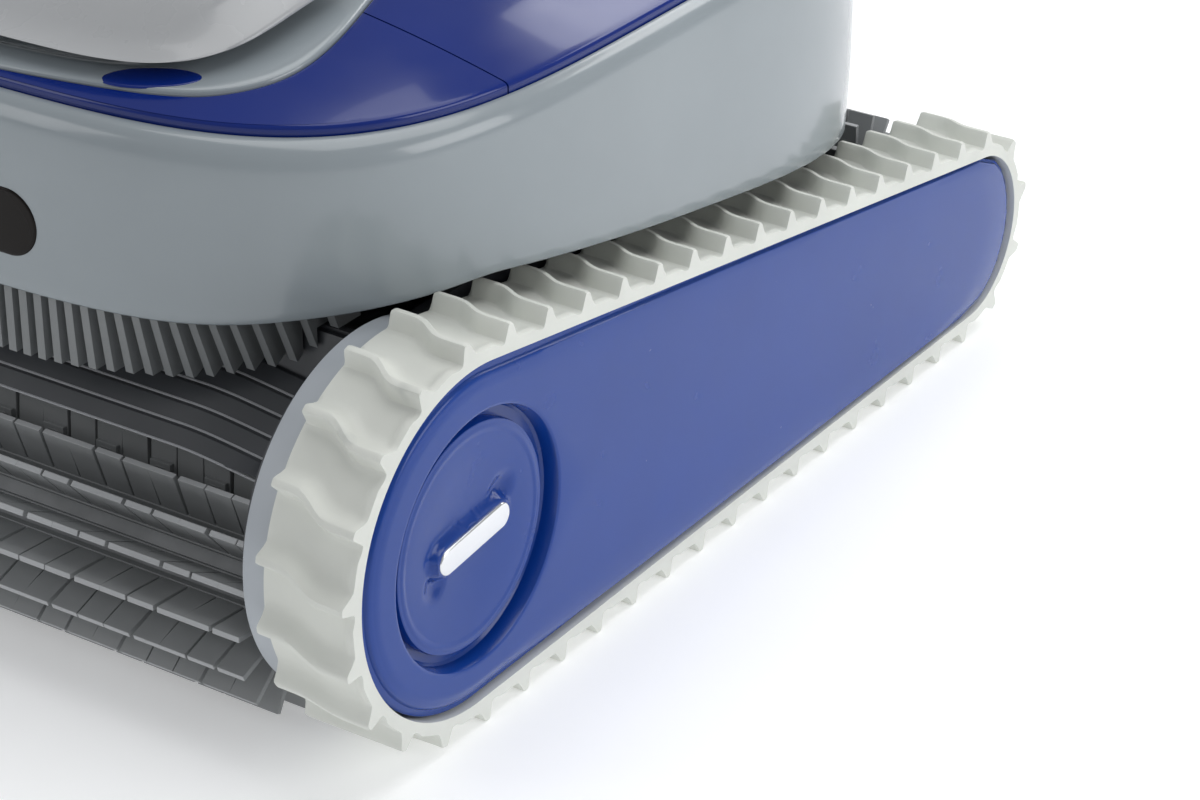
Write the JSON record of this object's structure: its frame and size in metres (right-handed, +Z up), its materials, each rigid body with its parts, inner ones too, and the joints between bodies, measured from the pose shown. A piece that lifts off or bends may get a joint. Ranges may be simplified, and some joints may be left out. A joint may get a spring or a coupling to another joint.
{
  "type": "pool cleaner",
  "caption": "Tracked underwater pool cleaner with front and rear scrubbing brushes, a top filter lid, a carrying handle and geared side tracks.",
  "frame": {"origin": "on the ground under the middle of the machine's bounding box", "axes": "+Z up, the machine drives and faces towards -Y, +X is its right side seen from above with the front down"},
  "size_m": [0.43, 0.4801, 0.2433],
  "materials": {
    "shell_grey": "glossy",
    "top_blue": "glossy",
    "side_blue": "glossy",
    "track_rubber": "matte",
    "wheel_plastic": "satin",
    "brush_rubber": "matte",
    "dark_plastic": "satin",
    "grille_plastic": "satin",
    "silver_plastic": "satin",
    "chrome_trim": "polished",
    "steel": "brushed",
    "gear_plastic": "satin",
    "window_dark": "glossy",
    "filter_fabric": "woven"
  },
  "bodies": {
    "chassis": {"bottom_plate": "dark_plastic", "cable_gland": "dark_plastic", "chassis_tub": "dark_plastic", "control_box": "dark_plastic", "drive_motor_left": "steel", "drive_motor_right": "steel", "filter_basket": "grille_plastic", "filter_mesh": "filter_fabric", "flap_brackets": "dark_plastic", "front_axle_left": "steel", "front_axle_right": "steel", "front_cover": "top_blue", "front_grille": "grille_plastic", "front_shroud": "dark_plastic", "front_window": "window_dark", "handle_pivots": "dark_plastic", "lid_hinge_ears": "top_blue", "lid_hinge_pins": "steel", "middle_deck": "silver_plastic", "outlet_duct": "dark_plastic", "outlet_grille": "dark_plastic", "plate_screws": "steel", "pump_motor": "dark_plastic", "rear_shroud": "dark_plastic", "side_frame_left": "dark_plastic", "side_frame_right": "dark_plastic", "side_panel_left": "side_blue", "side_panel_right": "side_blue", "track_belt_left": "track_rubber", "track_belt_right": "track_rubber", "upper_shell": "shell_grey"},
    "drive_wheel_right": {"drive_wheel_right": "wheel_plastic", "wheel_bush_right": "gear_plastic", "drive_gear_right": "gear_plastic"},
    "drive_wheel_left": {"drive_wheel_left": "wheel_plastic", "wheel_bush_left": "gear_plastic", "drive_gear_left": "gear_plastic"},
    "motor_pinion_right": {"motor_pinion_right": "gear_plastic", "motor_shaft_right": "steel"},
    "motor_pinion_left": {"motor_pinion_left": "gear_plastic", "motor_shaft_left": "steel"},
    "front_brush": {"front_brush_sleeve": "brush_rubber", "front_brush_core": "grille_plastic", "front_brush_shaft": "steel", "brush_gear": "gear_plastic"},
    "rear_brush": {"rear_brush_sleeve": "brush_rubber", "rear_brush_core": "grille_plastic", "rear_axle": "steel", "rear_idler_left": "wheel_plastic"},
    "rear_idler_right": {"rear_idler_right": "wheel_plastic"},
    "impeller": {"impeller": "gear_plastic", "pump_shaft": "steel"},
    "filter_lid": {"filter_lid": "top_blue"},
    "carry_handle": {"carry_handle": "silver_plastic"},
    "suction_flap_1": {"suction_flap_1": "brush_rubber"},
    "suction_flap_2": {"suction_flap_2": "brush_rubber"},
    "hub_cap_right": {"hub_cap_right": "side_blue", "hub_badge_right": "chrome_trim"},
    "hub_cap_left": {"hub_cap_left": "side_blue", "hub_badge_left": "chrome_trim"}
  },
  "joints": [
    {"name": "drive_right_spin", "type": "hinge", "parent": "chassis", "child": "drive_wheel_right", "pos_m": [0, -0.16515, 0.0752], "axis": [1, 0, 0], "continuous": true},
    {"name": "drive_left_spin", "type": "hinge", "parent": "chassis", "child": "drive_wheel_left", "pos_m": [0, -0.16515, 0.0752], "axis": [1, 0, 0], "continuous": true},
    {"name": "pinion_right_spin", "type": "hinge", "parent": "chassis", "child": "motor_pinion_right", "pos_m": [0, -0.12732, 0.08897], "axis": [1, 0, 0], "continuous": true},
    {"name": "pinion_left_spin", "type": "hinge", "parent": "chassis", "child": "motor_pinion_left", "pos_m": [0, -0.12732, 0.08897], "axis": [1, 0, 0], "continuous": true},
    {"name": "front_brush_spin", "type": "hinge", "parent": "chassis", "child": "front_brush", "pos_m": [0, -0.18545, 0.042], "axis": [1, 0, 0], "continuous": true},
    {"name": "rear_brush_spin", "type": "hinge", "parent": "chassis", "child": "rear_brush", "pos_m": [0, 0.19385, 0.0465], "axis": [1, 0, 0], "continuous": true},
    {"name": "rear_idler_right_spin", "type": "hinge", "parent": "chassis", "child": "rear_idler_right", "pos_m": [0, 0.19385, 0.0465], "axis": [1, 0, 0], "continuous": true},
    {"name": "impeller_spin", "type": "hinge", "parent": "chassis", "child": "impeller", "pos_m": [0, -0.046, 0], "axis": [0, 0, 1], "continuous": true},
    {"name": "filter_lid_hinge", "type": "hinge", "parent": "chassis", "child": "filter_lid", "pos_m": [0, 0.184, 0.211], "axis": [-1, 0, 0], "range_deg": [0, 75]},
    {"name": "carry_handle_hinge", "type": "hinge", "parent": "chassis", "child": "carry_handle", "pos_m": [0, -0.098, 0.236], "axis": [-1, 0, 0], "range_deg": [0, 85]},
    {"name": "suction_flap_1_hinge", "type": "hinge", "parent": "chassis", "child": "suction_flap_1", "pos_m": [0, 0.02, 0.023], "axis": [1, 0, 0], "range_deg": [0, 70]},
    {"name": "suction_flap_2_hinge", "type": "hinge", "parent": "chassis", "child": "suction_flap_2", "pos_m": [0, 0.1, 0.023], "axis": [1, 0, 0], "range_deg": [0, 70]},
    {"name": "hub_cap_right_turn", "type": "hinge", "parent": "chassis", "child": "hub_cap_right", "pos_m": [0, -0.16515, 0.0752], "axis": [1, 0, 0], "range_deg": [0, 90]},
    {"name": "hub_cap_left_turn", "type": "hinge", "parent": "chassis", "child": "hub_cap_left", "pos_m": [0, -0.16515, 0.0752], "axis": [1, 0, 0], "range_deg": [0, 90]}
  ],
  "couplings": [
    {"joint": "pinion_right_spin", "follows": "drive_right_spin", "ratio": -1.5},
    {"joint": "pinion_left_spin", "follows": "drive_left_spin", "ratio": -1.5},
    {"joint": "front_brush_spin", "follows": "drive_right_spin", "ratio": -1.6364},
    {"joint": "rear_idler_right_spin", "follows": "drive_right_spin", "ratio": 1.7613},
    {"joint": "rear_brush_spin", "follows": "drive_left_spin", "ratio": 1.7613}
  ]
}
